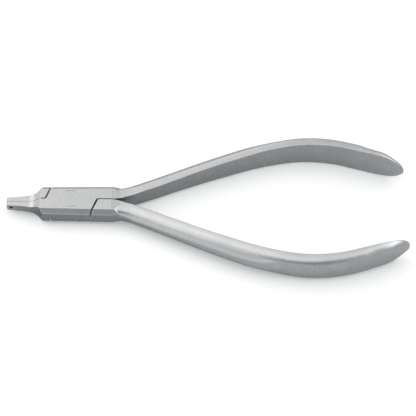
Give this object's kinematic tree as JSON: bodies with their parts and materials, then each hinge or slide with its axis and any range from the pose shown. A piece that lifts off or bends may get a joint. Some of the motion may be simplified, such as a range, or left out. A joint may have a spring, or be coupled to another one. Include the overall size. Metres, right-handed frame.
{
  "type": "crimping pliers",
  "caption": "Slim stainless-steel crimping pliers with a flush-pinned lap joint, a short narrow nose with a cross hole in one jaw, and long bowed handles with flattened grips.",
  "frame": {"origin": "on the pivot axis, at the back face of the joint", "axes": "+Z along the pivot axis from the back face to the front face, +X along the tool from the jaws to the handles, +Y towards half_a's handle"},
  "size_m": [0.129, 0.0506, 0.0104],
  "materials": {
    "satin_steel": "fine satin, bead-blasted stainless steel",
    "pin_steel": "satin stainless steel, ground flush with the joint"
  },
  "bodies": {
    "half_a": {"half_a": "satin_steel", "pivot_pin": "pin_steel"},
    "half_b": {"half_b": "satin_steel"}
  },
  "joints": [
    {"name": "pivot", "type": "hinge", "parent": "half_a", "child": "half_b", "pos_m": [0, 0, 0.0033], "axis": [0, 0, -1], "range_deg": [0, 17]}
  ]
}
